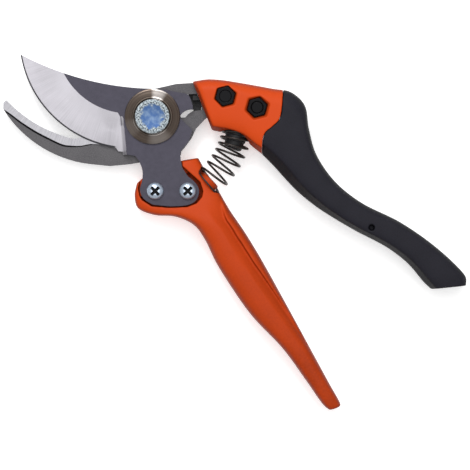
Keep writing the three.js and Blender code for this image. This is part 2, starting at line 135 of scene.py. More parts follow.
class Nodes:
    """A node tree with short ways to add and join its nodes."""

    def __init__(self, tree):
        self.tree = tree
        self.tree.nodes.clear()

    def add(self, kind, values=None, **settings):
        node = self.tree.nodes.new(kind)
        for key, value in settings.items():
            setattr(node, key, value)
        for key, value in (values or {}).items():
            socket = node.inputs[key]
            if isinstance(value, bpy.types.NodeSocket):
                self.tree.links.new(value, socket)
            else:
                socket.default_value = (*value[:3], 1) if socket.type == "RGBA" else value
        return node

    def out(self, kind, values=None, **settings):
        """The first output of a new node."""
        return self.add(kind, values, **settings).outputs[0]

    def maths(self, operation, first, second=0.0):
        return self.out("ShaderNodeMath", {0: first, 1: second}, operation=operation)

    def times(self, first, second):
        return self.maths("MULTIPLY", first, second)

    def parts(self, vector):
        return self.add("ShaderNodeSeparateXYZ", {0: vector}).outputs

    def vector(self, x=0.0, y=0.0, z=0.0):
        return self.out("ShaderNodeCombineXYZ", {0: x, 1: y, 2: z})

    def ramp(self, value, low, high, to_low=0.0, to_high=1.0, smooth=False):
        kind = "SMOOTHSTEP" if smooth else "LINEAR"
        inputs = {"Value": value, "From Min": low, "From Max": high, "To Min": to_low, "To Max": to_high}
        return self.out("ShaderNodeMapRange", inputs, interpolation_type=kind)

    def spread(self, noise, low=0.0, high=1.0):
        """Noise keeps near its middle; this spreads it from low to high."""
        return self.ramp(noise, 0.3, 0.7, low, high)

    def mix(self, mask, first, second):
        return self.add("ShaderNodeMix", {0: mask, 6: first, 7: second}, data_type="RGBA").outputs[2]

    def noise(self, vector, scale, detail=3.0, roughness=0.5):
        inputs = {"Vector": vector, "Scale": scale, "Detail": detail, "Roughness": roughness}
        return self.out("ShaderNodeTexNoise", inputs)

    def bump(self, height, strength, distance):
        inputs = {"Height": height, "Strength": strength, "Distance": distance * MM}
        return self.out("ShaderNodeBump", inputs)

    def place(self, tree, **values):
        """A shared effect placed in this material with its own values."""
        return self.add("ShaderNodeGroup", spaced(values), node_tree=tree).outputs

    def from_axis(self, vector):
        """The parts of a vector, and how far it reaches from the upright axis."""
        parts = self.parts(vector)
        squares = [self.maths("POWER", parts[index], 2.0) for index in (0, 1)]
        return parts, self.maths("SQRT", self.maths("ADD", *squares))

    def object_point(self):
        return self.add("ShaderNodeTexCoord").outputs["Object"]

    def surface(self, colour, roughness, metallic, normal=None, **plain):
        """The material's own shader; what is even all over is set straight on its sockets."""
        values = {"Base Color": colour, "Roughness": roughness, "Metallic": metallic}
        if normal is not None:
            values["Normal"] = normal
        shader = self.out("ShaderNodeBsdfPrincipled", {**values, **spaced(plain)})
        self.add("ShaderNodeOutputMaterial", {"Surface": shader})


FLOAT, COLOUR, VECTOR = "NodeSocketFloat", "NodeSocketColor", "NodeSocketVector"
RESULT_KINDS = {"VALUE": FLOAT, "RGBA": COLOUR, "GEOMETRY": "NodeSocketGeometry"}


def node_group(name, kind, inputs, build):
    """A shared node group, built once; build returns its results by name."""
    if name in bpy.data.node_groups:
        return bpy.data.node_groups[name]
    tree = bpy.data.node_groups.new(name, kind)
    for label, socket_kind in inputs.items():
        tree.interface.new_socket(label, in_out="INPUT", socket_type=socket_kind)
    nodes = Nodes(tree)
    results = build(nodes, nodes.add("NodeGroupInput").outputs)
    for label, socket in results.items():
        tree.interface.new_socket(label, in_out="OUTPUT", socket_type=RESULT_KINDS[socket.type])
    nodes.add("NodeGroupOutput", results)
    return tree


def grain_effect():
    """Fine speckle in colour and height, on object coordinates."""

    def build(nodes, given):
        fine = nodes.noise(given["Point"], given["Scale"], 4.0, 0.65)
        wide = nodes.noise(given["Point"], nodes.times(given["Scale"], 0.06), 2.0)
        mask = nodes.times(nodes.spread(fine), given["Amount"])
        patch = nodes.times(nodes.ramp(wide, 0.35, 0.65), given["Patches"])
        colour = nodes.mix(mask, given["Colour"], given["Speckle"])
        colour = nodes.mix(patch, colour, given["Speckle"])
        return {"Colour": colour, "Height": fine, "Patch": wide}

    return node_group("Fine grain", "ShaderNodeTree", {
        "Point": VECTOR, "Scale": FLOAT, "Colour": COLOUR, "Speckle": COLOUR, "Amount": FLOAT, "Patches": FLOAT,
    }, build)


def grain_on(nodes, colour, speckle, scale, amount, patches):
    """The fine grain, placed in a material on its object's own coordinates."""
    return nodes.place(grain_effect(), Point=nodes.object_point(), Colour=colour, Speckle=speckle, Scale=scale,
                       Amount=amount, Patches=patches)


def worn_edge_effect():
    """Colour rubbed bright along outer edges and darkened in the creases."""

    def build(nodes, given):
        point = nodes.add("ShaderNodeNewGeometry").outputs["Pointiness"]
        edge = nodes.times(nodes.ramp(point, 0.53, 0.60), given["Wear"])
        # Concave creases, where pointiness is low, are darkened towards near black.
        crease = nodes.times(nodes.ramp(point, 0.47, 0.40), given["Dirt"])
        colour = nodes.mix(edge, given["Colour"], given["Bare"])
        return {"Colour": nodes.mix(crease, colour, (0.01, 0.009, 0.008))}

    return node_group("Worn edges", "ShaderNodeTree", {
        "Colour": COLOUR, "Bare": COLOUR, "Wear": FLOAT, "Dirt": FLOAT}, build)


def flank_shade_effect():
    """Painted shade: colour darkened where a moulding turns down at its sides."""

    def build(nodes, given):
        normal = nodes.add("ShaderNodeNewGeometry").outputs["Normal"]
        facing = nodes.parts(normal)[2]
        steep = nodes.ramp(nodes.maths("ABSOLUTE", facing), 0.96, 0.35, smooth=True)
        mask = nodes.times(steep, given["Depth"])
        return {"Colour": nodes.mix(mask, given["Colour"], given["Shade"])}

    return node_group("Painted flank shade", "ShaderNodeTree", {"Colour": COLOUR, "Shade": COLOUR, "Depth": FLOAT}, build)


def brushed_effect():
    """Fine lines that run out from a centre, as a grinding wheel leaves them."""

    def build(nodes, given):
        away = nodes.out("ShaderNodeVectorMath", {0: given["Point"], 1: given["Centre"]}, operation="SUBTRACT")
        parts, reach = nodes.from_axis(away)
        turn = nodes.maths("ARCTAN2", parts[1], parts[0])
        swept = nodes.vector(nodes.times(turn, given["Lines"]), nodes.times(reach, 60.0))
        fine = nodes.noise(swept, 1.0, 3.0, 0.7)
        cloud = nodes.noise(given["Point"], 90.0, 2.0)
        return {"Lines": nodes.spread(fine), "Cloud": cloud, "Reach": reach}

    return node_group("Brushed lines", "ShaderNodeTree", {"Point": VECTOR, "Centre": VECTOR, "Lines": FLOAT}, build)


def material(name, build):
    """A named material, built the first time it is asked for."""
    if name in bpy.data.materials:
        return bpy.data.materials[name]
    made = bpy.data.materials.new(name)
    made.use_nodes = True
    build(Nodes(made.node_tree))
    return made


def blasted_steel(nodes):
    base = Vector(colours().blasted)
    lighter = base * 1.7
    grain = grain_on(nodes, base, lighter, 2600.0, 0.6, 0.25)
    rough = nodes.spread(grain["Height"], 0.42, 0.56)
    cloud = nodes.ramp(nodes.noise(nodes.object_point(), 480.0, 4.0, 0.6), 0.35, 0.65, 0.0, 0.4)
    colour = nodes.mix(cloud, grain["Colour"], lighter)
    nodes.surface(colour, rough, 0.75, nodes.bump(grain["Height"], 0.4, 0.06))


def hook_steel(nodes):
    point = nodes.object_point()
    parts = nodes.parts(point)
    base = (0.055, 0.053, 0.058)
    grain = grain_on(nodes, base, (0.14, 0.135, 0.14), 2200.0, 0.6, 0.12)
    land_level = (BLADE_REAR - LAND_DEPTH) * MM
    front = nodes.ramp(parts[2], land_level - 0.01 * MM, land_level)
    left = nodes.ramp(parts[0], LAND_START * MM, (LAND_START - 5.0) * MM)
    land = nodes.times(front, left)
    brushed = nodes.place(brushed_effect(), Point=point, Centre=Vector((-20.3, 45.9, 0)) * MM, Lines=420.0)
    bright = nodes.mix(brushed["Lines"], (0.18, 0.176, 0.19), (0.33, 0.325, 0.345))
    colour = nodes.mix(land, grain["Colour"], bright)
    rough = nodes.ramp(land, 0.0, 1.0, 0.5, 0.3)
    nodes.surface(colour, rough, 0.8, nodes.bump(grain["Height"], 0.2, 0.05))


def speckled(name, colour, speckle, scale, amount, patches, shine, metallic, relief=None, **plain):
    """A plain finish with a fine speckle: shine gives two roughnesses, relief a strength and a depth."""

    def build(nodes):
        grain = grain_on(nodes, colour, speckle, scale, amount, patches)
        rough = nodes.spread(grain["Height"], *shine)
        normal = nodes.bump(grain["Height"], *relief) if relief else None
        nodes.surface(grain["Colour"], rough, metallic, normal, **plain)

    return material(name, build)


# Bare steel on the plates' rounded edges: partly worn steel, partly a painted highlight along them.
def bare_edge_highlight():
    return speckled("Bare steel edge highlight", (0.16, 0.16, 0.17), (0.42, 0.42, 0.44), 2600.0, 0.7, 0.3, (0.3, 0.45), 0.9)


def ground_steel(nodes):
    point = nodes.object_point()
    brushed = nodes.place(brushed_effect(), Point=point, Centre=Vector((*GRIND_CENTRE, 0)) * MM, Lines=330.0)
    base = Vector(colours().ground)
    colour = nodes.mix(brushed["Lines"], base * 0.72, base)
    colour = nodes.mix(nodes.ramp(brushed["Cloud"], 0.35, 0.7, 0.0, 0.35), colour, base * 1.15)
    # The honed strip along the cutting edge is painted dark, as painted shade of its narrow facet.
    honed = nodes.place(brushed_effect(), Point=point, Centre=Vector((*EDGE_CENTRE, 0)) * MM, Lines=330.0)
    across = nodes.parts(point)[0]
    near = nodes.ramp(honed["Reach"], (EDGE_RADIUS - HONE_WIDTH) * MM, (EDGE_RADIUS - HONE_WIDTH + 0.12) * MM)
    edge = nodes.times(near, nodes.ramp(across, HONE_START * MM, (HONE_START - 0.8) * MM))
    colour = nodes.mix(edge, colour, (0.05, 0.05, 0.056))
    rough = nodes.ramp(brushed["Lines"], 0.0, 1.0, 0.30, 0.42)
    nodes.surface(colour, rough, 0.75, nodes.bump(brushed["Lines"], 0.15, 0.04), Anisotropic=0.3)


# Painted highlights, fans of light set into the collar's colour: middle, half width, strength.
PAINTED_COLLAR_HIGHLIGHTS = ((74, 20, 0.72), (-72, 34, 0.24), (-152, 26, 0.1))


def turned_bronze(nodes):
    parts, reach = nodes.from_axis(nodes.object_point())
    rings = nodes.noise(nodes.vector(nodes.times(reach, 2600.0)), 1.0, 2.0)
    base = Vector(colours().bronze)
    turn = nodes.maths("ARCTAN2", parts[1], parts[0])
    highlight_fans = []
    for middle, half, share in PAINTED_COLLAR_HIGHLIGHTS:
        swing = nodes.maths("COSINE", nodes.maths("SUBTRACT", turn, math.radians(middle)))
        highlight_fans.append(nodes.ramp(swing, math.cos(math.radians(half)), 1.0, 0.0, share, smooth=True))
    light = nodes.maths("MAXIMUM", nodes.maths("MAXIMUM", highlight_fans[0], highlight_fans[1]), highlight_fans[2])
    grooves_and_lip_shade = nodes.mix(nodes.spread(rings), base * 0.36, base * 0.82)
    # Painted shade on the collar's inner lip.
    painted_lip_shade = nodes.ramp(reach, 8.8 * MM, 8.3 * MM, 0.0, 0.8)
    grooves_and_lip_shade = nodes.mix(painted_lip_shade, grooves_and_lip_shade, base * 0.12)
    # The painted highlights lay a pale colour over the turned rings.
    colour = nodes.mix(light, grooves_and_lip_shade, (0.86, 0.80, 0.76))
    worn = nodes.place(worn_edge_effect(), Colour=colour, Bare=(0.24, 0.20, 0.17), Wear=0.2, Dirt=0.5)
    nodes.surface(worn["Colour"], nodes.spread(rings, 0.30, 0.42), 1.0, nodes.bump(rings, 0.12, 0.04))


def zinc_plate(name="Zinc plate", tint=0.45, shine=0.42, bright=1.0):
    def build(nodes):
        base = Vector(colours().zinc) * bright
        grain = grain_on(nodes, base * 0.8, (0.60, 0.66, 0.72), 1500.0, 0.55, 0.2)
        patch = nodes.ramp(nodes.noise(nodes.object_point(), 330.0, 3.0), 0.42, 0.6, 0.0, tint)
        colour = nodes.mix(patch, grain["Colour"], (0.045, 0.10, 0.25))
        worn = nodes.place(worn_edge_effect(), Colour=colour, Bare=(0.7, 0.72, 0.75), Wear=0.4, Dirt=0.7)
        rough = nodes.spread(grain["Height"], shine, shine + 0.18)
        nodes.surface(worn["Colour"], rough, 0.7, nodes.bump(grain["Height"], 0.5, 0.06), Specular_IOR_Level=0.3)

    return material(name, build)


def pivot_head_zinc(nodes):
    """Mottled bright rim round a blue passivated middle."""
    point = nodes.object_point()
    reach = nodes.from_axis(point)[1]
    fine = nodes.noise(point, 1500.0, 3.0, 0.6)
    wide = nodes.noise(point, 420.0, 3.0)
    ragged = nodes.maths("ADD", reach, nodes.spread(wide, -1.2 * MM, 1.2 * MM))
    rim = nodes.ramp(ragged, 4.4 * MM, 5.2 * MM)
    blue = nodes.mix(nodes.ramp(wide, 0.4, 0.65), (0.060, 0.125, 0.29), (0.16, 0.24, 0.38))
    flecks = nodes.mix(nodes.ramp(fine, 0.38, 0.60), (0.05, 0.065, 0.08), (0.46, 0.52, 0.55))
    colour = nodes.mix(rim, blue, flecks)
    rough = nodes.spread(fine, 0.42, 0.60)
    nodes.surface(colour, rough, 0.55, nodes.bump(fine, 0.6, 0.07), Specular_IOR_Level=0.25)


def polished_screw():
    return zinc_plate("Polished screw", 0.06, 0.2, 2.5)


def moulded_colour(nodes, grain, base, shade, bare, wear, crease_darkening):
    """A moulding's colour: painted shade on its flanks, rubbed on its edges and darkened in its creases."""
    flank_shade = nodes.place(flank_shade_effect(), Colour=grain["Colour"], Shade=base * shade, Depth=0.85)
    return nodes.place(worn_edge_effect(), Colour=flank_shade["Colour"], Bare=base * bare, Wear=wear, Dirt=crease_darkening)["Colour"]


def orange_plastic(name="Casing orange", depth=1.05, far=1.05):
    """Moulded orange whose depth of colour drifts from the pivot end to the tail; on the lower handle this drift is
    painted shade.
    """

    def build(nodes):
        base = Vector(colours().orange) * depth
        down = nodes.parts(nodes.object_point())[1]
        tail_shade = nodes.ramp(down, -0.020, -0.110)
        body = nodes.mix(tail_shade, base, Vector(colours().orange) * far)
        grain = grain_on(nodes, body, base * 1.12, 1100.0, 0.35, 0.25)
        colour = moulded_colour(nodes, grain, base, 0.42, 1.1, 0.0, 0.3)
        rough = nodes.spread(grain["Patch"], 0.42, 0.52)
        nodes.surface(colour, rough, 0.0, nodes.bump(grain["Height"], 0.12, 0.05), Specular_IOR_Level=0.1)

    return material(name, build)


# The lower handle's orange: a darker copy of the casing's, with painted shade deepening towards the tail.
def shaded_handle_orange():
    return orange_plastic("Shaded handle orange", 0.98, 0.56)


def grip_rubber(nodes):
    base = Vector(colours().rubber)
    grain = grain_on(nodes, base * 0.8, base * 1.7, 1900.0, 0.6, 0.2)
    colour = moulded_colour(nodes, grain, base, 0.2, 2.2, 0.4, 0.2)
    rough = nodes.spread(grain["Height"], 0.48, 0.66)
    nodes.surface(colour, rough, 0.0, nodes.bump(grain["Height"], 0.45, 0.06), Specular_IOR_Level=0.12)


def black_oxide():
    return speckled("Black oxide", colours().black, (0.014, 0.014, 0.017), 1800.0, 0.4, 0.25, (0.28, 0.44),
                    0.1, (0.2, 0.04), Specular_IOR_Level=0.06)


def spring_steel():
    return speckled("Spring steel", (0.022, 0.018, 0.016), (0.06, 0.052, 0.048), 1500.0, 0.5, 0.3, (0.26, 0.4), 0.6,
                    (0.15, 0.03), Specular_IOR_Level=0.4)


def black_plastic():
    return speckled("Black plastic", colours().black, (0.03, 0.03, 0.034), 1300.0, 0.5, 0.2, (0.42, 0.58),
                    0.0, (0.3, 0.06), Specular_IOR_Level=0.3)


# ---- Mesh building, in millimetres with the blade's rear face at height 0 ----


def polar(radius, degrees):
    return radius * math.cos(math.radians(degrees)), radius * math.sin(math.radians(degrees))


def arc(centre, radius, start, end, steps):
    """Points of an arc, both ends included."""
    points = []
    for i in range(steps + 1):
        x, y = polar(radius, start + (end - start) * i / steps)
        points.append((centre[0] + x, centre[1] + y))
    return points


def through(points, steps):
    """A smooth line through the points, with even steps between each two."""
    rows = np.array(points, float)
    padded = np.vstack([2 * rows[0] - rows[1], rows, 2 * rows[-1] - rows[-2]])
    line = []
    for i in range(len(rows) - 1):
        p0, p1, p2, p3 = padded[i:i + 4]
        for k in range(steps):
            t = k / steps
            line.append(0.5 * ((2 * p1) + (p2 - p0) * t + (2 * p0 - 5 * p1 + 4 * p2 - p3) * t ** 2
                               + (3 * p1 - p0 - 3 * p2 + p3) * t ** 3))
    line.append(rows[-1])
    return np.array(line)


def in_scene(name, data):
    """An object with this data, linked to the scene."""
    made = bpy.data.objects.new(name, data)
    bpy.context.scene.collection.objects.link(made)
    return made


def solid_from(name, verts, faces):
    """A mesh object from points and faces, with its doubles merged and its faces turned outwards."""
    mesh = bpy.data.meshes.new(name)
    mesh.from_pydata([tuple(v) for v in verts], [], faces)
    work = bmesh.new()
    work.from_mesh(mesh)
    bmesh.ops.remove_doubles(work, verts=work.verts, dist=1e-5)
    bmesh.ops.dissolve_degenerate(work, edges=work.edges, dist=1e-6)
    bmesh.ops.recalc_face_normals(work, faces=work.faces)
    work.to_mesh(mesh)
    work.free()
    return in_scene(name, mesh)


def stacked(name, rings):
    """A closed solid over rings of points, each with the same count."""
    count = len(rings[0])
    verts = [p for ring in rings for p in ring]
    faces = []
    for i in range(len(rings) - 1):
        for k in range(count):
            after = (k + 1) % count
            faces.append((i * count + k, i * count + after, (i + 1) * count + after, (i + 1) * count + k))
    faces.append(tuple(range(count))[::-1])
    last = (len(rings) - 1) * count
    faces.append(tuple(range(last, last + count)))
    return solid_from(name, verts, faces)


def prism(name, outline, low, high, top=None):
    """An upright solid on an outline; its top may have an outline of its own."""
    upper = top or outline
    return stacked(name, [[(x, y, low) for x, y in outline], [(x, y, high) for x, y in upper]])


def turned(name, centre, profile, sides=96):
    """A solid turned about an upright axis; its profile lists radius and height and closes on the axis."""
    rings = []
    for radius, height in profile:
        rings.append([(centre[0] + x, centre[1] + y, height) for x, y in
                      (polar(max(radius, 1e-4), 360 * k / sides) for k in range(sides))])
    return stacked(name, rings)


def apply_modifiers(obj):
    """The object's modifiers, made part of its mesh."""
    bpy.context.view_layer.update()
    shape = bpy.data.meshes.new_from_object(obj.evaluated_get(bpy.context.evaluated_depsgraph_get()))
    obj.modifiers.clear()
    obj.data = shape


def combine(obj, other, operation):
    """Joins, takes out or keeps in common, and removes the other body."""
    step = obj.modifiers.new("combine", "BOOLEAN")
    step.operation = operation
    step.solver = "MANIFOLD"
    step.object = other
    apply_modifiers(obj)
    bpy.data.objects.remove(other)


def cut(obj, *cutters):
    """Takes each cutter out of the object."""
    for cutter in cutters:
        name, before = cutter.name, len(obj.data.vertices)
        combine(obj, cutter, "DIFFERENCE")
        if len(obj.data.vertices) == before:
            raise RuntimeError(f"{name} took nothing out of {obj.name}")


def moulded(obj, grid, rounds):
    """Rounds every edge as a mould does: an even grid over the shape, then a light smoothing."""
    remesh = obj.modifiers.new("grid", "REMESH")
    remesh.mode = "VOXEL"
    remesh.voxel_size = grid
    smooth = obj.modifiers.new("smooth", "SMOOTH")
    smooth.factor = 0.5
    smooth.iterations = rounds
    apply_modifiers(obj)


def rounded(obj, width, segments=2, finish=-1):
    """Rounds the sharp edges; the rounding may take a finish of its own."""
    step = obj.modifiers.new("round", "BEVEL")
    step.width = width
    step.segments = segments
    step.limit_method = "ANGLE"
    step.angle_limit = math.radians(30)
    step.material = finish
    apply_modifiers(obj)
    return obj


def put_finishes(obj, finishes):
    for finish in finishes:
        obj.data.materials.append(finish)


def settle(obj, body, nodes, finishes, sharp=12.0):
    """Puts a finished piece in the frame: metres, finishes, smooth shading, its body if it has one; hides the CAD
    nodes it stands for.
    """
    obj.data.transform(Matrix.Scale(MM, 4) @ Matrix.Translation((0, 0, BLADE_REAR)))
    chosen = [face.material_index for face in obj.data.polygons]
    obj.data.materials.clear()
    put_finishes(obj, finishes)
    obj.data.polygons.foreach_set("material_index", [min(index, len(finishes) - 1) for index in chosen])
    obj.data.shade_smooth()
    obj.data.set_sharp_from_angle(angle=math.radians(sharp))
    obj.data.update()
    if body:
        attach(obj, body)
    if nodes:
        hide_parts(*nodes)


def copy_of(node, name):
    """A copy of a CAD node in millimetres, with its doubles merged and its flat faces whole."""
    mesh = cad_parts[node].data.copy()
    mesh.name = name
    mesh.materials.clear()
    mesh.transform(Matrix.Translation((0, 0, -BLADE_REAR)) @ Matrix.Scale(1 / MM, 4))
    work = bmesh.new()
    work.from_mesh(mesh)
    bmesh.ops.remove_doubles(work, verts=work.verts, dist=1e-3)
    bmesh.ops.dissolve_limit(work, angle_limit=math.radians(0.4), verts=work.verts, edges=work.edges)
    work.to_mesh(mesh)
    work.free()
    return in_scene(name, mesh)


def dress_copy(node, body, finish, width, segments=2, name=None):
    """A CAD node's own shape with rounded edges and a finish."""
    piece = rounded(copy_of(node, name or f"{node}_dressed"), width, segments)
    settle(piece, body, [node], [finish])


def paint_faces(obj, choose):
    """Gives each face the material slot that choose returns for it."""
    for face in obj.data.polygons:
        face.material_index = choose(face.center, face.normal)


# ---- Shapes shared by several pieces ----

EDGE_CENTRE, EDGE_RADIUS = (-8.9, 33.8), 47.1
GRIND_CENTRE = (-9.6, 32.2)
CLAMPS = ((30.6, 8.4), (43.9, 3.7))
SCREWS = ((1.2, -31.2), (14.9, -31.2))
SPRING_ARC, SPRING_START, SPRING_END = 36.0, -49.2, -5.2
SOCKET_RADIUS, UPPER_FLOOR, LOWER_FLOOR, SPRING_MIDDLE = 7.0, -4.0, -50.2, -27.0
HOOK_BACK, TANG_TURN = -4.3, math.degrees(math.atan2(CLAMPS[1][1] - CLAMPS[0][1], CLAMPS[1][0] - CLAMPS[0][0]))

# Each station: one edge point, the opposite edge point, half thickness, mid height.
UPPER_STATIONS = (
    (16.8, 14.8, 25, -5.6, 8, 0), (23.4, 15.7, 28, -6.2, 8.8, 0), (29.7, 15.3, 32.5, -7, 9.2, 0),
    (36.7, 14.2, 38.1, -9.2, 9.4, 0), (43.6, 13, 42.6, -13, 9.5, 0), (50.6, 11.7, 46, -15.7, 9.7, 0),
    (58.1, 10.3, 51, -20.7, 10, 0), (64, 4.6, 56.4, -26.7, 10, 0), (65.6, -5, 62, -32.3, 10, 0),
    (68.8, -16, 69.5, -38.2, 9.8, 0), (76.6, -27.2, 77.5, -43.3, 9.4, 0), (87.9, -36.2, 86, -48.2, 9, 0),
    (103.7, -44.1, 98, -54.5, 8.8, 0), (118.3, -54.2, 107, -61.3, 8.6, 0), (130.4, -65.6, 113.8, -69.2, 8.2, 0),
    (131.6, -70.8, 117.1, -72.3, 7.6, 0),
)
LOWER_STATIONS = (
    (12.4, -18.3, -4.3, -25.7, 6, -1.2), (19.2, -17.2, -6.6, -28, 6, -1.2), (22.5, -23, -7.5, -33, 6.2, -1.1),
    (26.5, -28.6, -6, -38.4, 6.6, -0.9), (29.3, -33.8, 0.8, -41.2, 7.2, -0.6), (32.6, -39.4, 9.5, -41.9, 7.8, -0.3),
    (36, -44.3, 17.2, -45.3, 8.4, 0), (39.8, -50, 22, -51.5, 8.6, 0), (46.5, -61.2, 28, -63.4, 8.6, 0),
    (57, -80.2, 40.9, -82.5, 8.4, 0), (67, -98.6, 54.4, -96.9, 8, 0), (74, -111.5, 64, -110, 7.4, 0),
    (78.8, -120.2, 71, -120, 6.4, 0), (78, -121.8, 74.2, -123, 5.6, 0),
)
GRIP_BORDER = ((54.8, 13), (54.4, 5.7), (53.3, -0.9), (50.4, -4.1), (47, -7.2), (46, -11.7), (45.9, -17.5))
# The lower handle's crease: station, how far across it lies, and how deep it is.
CREASE = ((4, 0.95, 0.0), (5, 0.74, 0.7), (5.8, 0.55, 1), (7, 0.50, 1), (8, 0.58, 1), (8.85, 0.78, 0.9),
          (9.4, 0.86, 0.6), (10, 0.92, 0))
# The ground land of the hook ends along this line, with a groove beyond it; the groove's floor is painted black as
# painted shade.
LAND_BORDER = ((-66, 5.2), (-62.7, 3.3), (-59.6, 1.3), (-55.2, -2), (-49.3, -5.8), (-43.4, -8.9), (-38.1, -11.4),
               (-34.6, -12.05), (-30.2, -12.1), (-25.2, -11.3))
GROOVE_FLOOR = -1.7
# How far the land lies behind the blade's rear face, and where it starts beside the pivot.
LAND_DEPTH, LAND_START = 0.42, -19.0
# Width of the honed strip along the cutting edge, and where it starts.
HONE_WIDTH, HONE_START = 0.62, -15.2
# The collar's underside and inner radius, and the room round the pivot bolt's head.
COLLAR_SEAT, COLLAR_BORE, HEAD_ROOM = 3.3, 5.0, 0.3
# Rooms for the clamp nuts and bolts in the casing.
HEX_TURN, NUT_SEAT, FLARE_LOW, FLARE_HIGH = 15, 5.4, 8.3, 9.7
BOLT_SEAT, BOLT_HEAD_ROOM, BOLT_ROOM = -6.4, 4.5, 2.5
# Rooms for the blade screws and their inserts in the lower handle.
SCREW_ROOM, INSERT_ROOM, TRENCH_FLOOR = 2.05, 3.9, -4.5
# Clearance between the casing and the grip where they meet.
GRIP_JOINT = 0.12
# Radius of the disc that the spring's lower end stands on.
SEAT_RADIUS = 6.95
# The spring's turns stand closer at its upper end by this share.
PITCH_EASE = 0.3
# The catch's front flange lies behind the hook's window.
FLANGE = ((15, 3.3), (17.1, 3.3), (17.1, 2.2), (20.4, 2.2), (20.4, 4.4), (19.2, 4.4), (19.2, 9), (18.7, 9.8),
          (15, 9.8))
FLANGE_BACK, FLANGE_FRONT = -6.6, -4.65
LOBE_POCKET = (
    (-5.2, -14), (-5.2, -26), (-6, -30), (-5.4, -33.2), (-4.3, -35), (-0.2, -37.6), (7.1, -38.2), (14.6, -37.9),
    (18.5, -36.4), (20.8, -33.8), (21.3, -31.2), (20.1, -27.4), (15.3, -23.1), (12.6, -20.7), (12.3, -14),
)


def crisp(stations, corner):
    """Stations with a neighbour close on each side of the corner that stays sharp."""
    rows = [np.array(row, float) for row in stations]
    before, at, after = rows[corner - 1:corner + 2]
    rows[corner:corner + 1] = [at + (before - at) * 0.1, at, at + (after - at) * 0.1]
    return rows


def handle_body(name, stations, steps, section):
    """A handle over its stations. section(u, along) gives how far across, -1 to 1, and the height, -1 to 1."""
    rows = through(stations, steps)
    rings = []
    sides = 144
    for index, row in enumerate(rows):
        along = index / (len(rows) - 1)
        edge, opposite, half, middle = row[0:2], row[2:4], row[4], row[5]
        ring = []
        for k in range(sides):
            across, height = section(2 * math.pi * k / sides, along * (len(stations) - 1))
            point = (edge + opposite) / 2 + (edge - opposite) / 2 * across
            ring.append((point[0], point[1], middle + half * height))
        rings.append(ring)
    insets = []
    for ring in (rings[0], rings[-1]):
        centre = np.mean(ring, axis=0)
        insets.append([tuple(centre + (np.array(p) - centre) * 0.9) for p in ring])
    return stacked(name, [insets[0], *rings, insets[1]])


def unit(value):
    return max(0.0, min(1.0, value))


def blunt(value, power):
    return math.copysign(abs(value) ** power, value)


def bent_solid(name, profile, sides=64):
    """A round solid bent along the spring's arc; its profile lists angle and radius."""
    rings = []
    for degrees, radius in profile:
        ring = []
        for k in range(sides):
            across, height = polar(radius, 360 * k / sides)
            ring.append((*polar(SPRING_ARC + across, degrees), height))
        rings.append(ring)
    return stacked(name, rings)


def spring_room(name, start, end):
    """The bent round room that the spring lies in."""
    return bent_solid(name, [(degrees, SOCKET_RADIUS) for degrees in np.linspace(start, end, 14)], 48)


def polygon(centre, radius, sides, turn=0):
    return arc(centre, radius, turn, turn + 360 - 360 / sides, sides - 1)


def grip_area(shift):
    border = [(x + shift, y) for x, y in through(GRIP_BORDER, 6)]
    return border + [(46 + shift, -90), (150, -90), (150, 25), (55 + shift, 25)]


# ---- Operators ----


class PRUNER_OT_cutting_blade(bpy.types.Operator):
    """Ground cutting blade with its lobe in the lower handle"""

    bl_idname = "pruner.cutting_blade"
    bl_label = "Cutting blade"

    def execute(self, context):
        blade = copy_of("cutting_blade", "cutting_blade_dressed")
        heel, top, width = (-12.2, -17.0), (-13.3, 0.2), 1.7
        wedge = solid_from("shoulder", [
            (heel[0] - 0.1, heel[1], -0.2), (heel[0] - 0.1, heel[1], 3.4), (heel[0] + width, heel[1], 3.4),
            (top[0] - 0.1, top[1], 2.9), (top[0] - 0.1, top[1], 3.4), (top[0] + width * 0.7, top[1], 3.4),
        ], [(0, 1, 2), (3, 5, 4), (0, 3, 4, 1), (1, 4, 5, 2), (0, 2, 5), (0, 5, 3)])
        cut(blade, wedge)
        paint_faces(blade, lambda centre, normal: int(centre.x < -10 and 0.2 < normal.z < 0.9995))
        finishes = [material("Blasted steel", blasted_steel), material("Ground steel", ground_steel), bare_edge_highlight()]
        put_finishes(blade, finishes)
        rounded(blade, sizes().edge_round / MM, finish=finishes.index(bare_edge_highlight()))
        settle(blade, BLADE, ["cutting_blade"], finishes)
        dress_copy("stop_pin", BLADE, black_oxide(), 0.2)
        return {"FINISHED"}


class PRUNER_OT_hook(bpy.types.Operator):
    """Hooked counter-blade and its frame"""

    bl_idname = "pruner.hook"
    bl_label = "Hook"

    def execute(self, context):
        hook = copy_of("counter_blade", "hook_dressed")
        finishes = [material("Hook steel", hook_steel), bare_edge_highlight(), black_oxide()]
        put_finishes(hook, finishes)
        border = through(LAND_BORDER, 5)
        below = []
        for index, (x, y) in enumerate(border):
            along = index / len(border)
            below.append((x - 0.3 * along, y - 0.25 - 0.65 * math.sin(math.pi * (0.2 + 0.8 * along))))
        groove = [(x, y - 0.02) for x, y in border] + below[::-1]
        cut(hook, prism("groove", groove, GROOVE_FLOOR, -0.2))
        rounded(hook, sizes().edge_round / MM, finish=finishes.index(bare_edge_highlight()))
        # The groove's floor and lower walls take the black oxide finish: painted shade under the land's edge.
        for face in hook.data.polygons:
            if face.center.x < -20 and GROOVE_FLOOR - 0.05 < face.center.z < GROOVE_FLOOR + 0.55:
                face.material_index = finishes.index(black_oxide())
        settle(hook, HOOK, ["counter_blade"], finishes)
        return {"FINISHED"}


